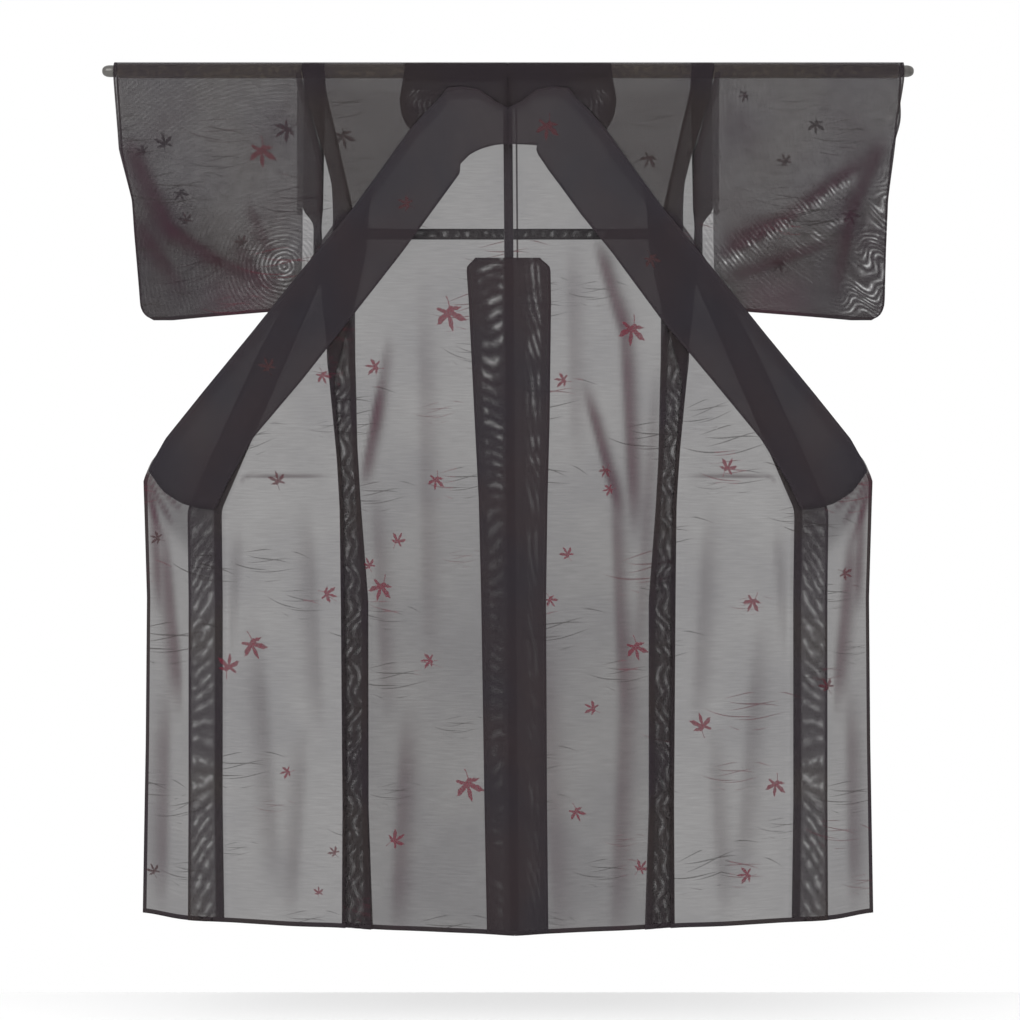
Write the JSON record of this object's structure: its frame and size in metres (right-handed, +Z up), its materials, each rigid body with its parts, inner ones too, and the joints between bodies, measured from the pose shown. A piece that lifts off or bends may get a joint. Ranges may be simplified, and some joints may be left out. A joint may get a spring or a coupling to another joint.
{
  "type": "sheer summer kimono hung on a rod",
  "caption": "Unlined gauze kimono hung open on a round rod, fronts spread to the sides, sleeves over the rod, with inner lining strips.",
  "frame": {"origin": "middle of the rod, on its axis, where the rod holds the kimono up", "axes": "+Z up, +X to the wearer's left, -Y towards the viewer and out of the garment's front"},
  "size_m": [1.424, 0.035, 1.5358],
  "materials": {
    "gauze": "sheer matt gauze with dark red maple leaves and thin reed strokes",
    "lining": "plain sheer matt gauze",
    "rod_lacquer": "dark mottled satin lacquer",
    "cap_metal": "polished silver grey"
  },
  "bodies": {
    "root": {"rod": "rod_lacquer", "rod_cap_left": "cap_metal", "rod_cap_right": "cap_metal", "body_left": "gauze", "body_right": "gauze", "okumi_left": "gauze", "okumi_right": "gauze", "sleeve_left": "gauze", "sleeve_right": "gauze", "collar_left": "gauze", "collar_right": "gauze", "shoulder_lining": "lining", "seat_lining": "lining", "centre_seam_binding": "lining", "waist_tuck_left": "gauze", "waist_tuck_right": "gauze"}
  },
  "joints": []
}
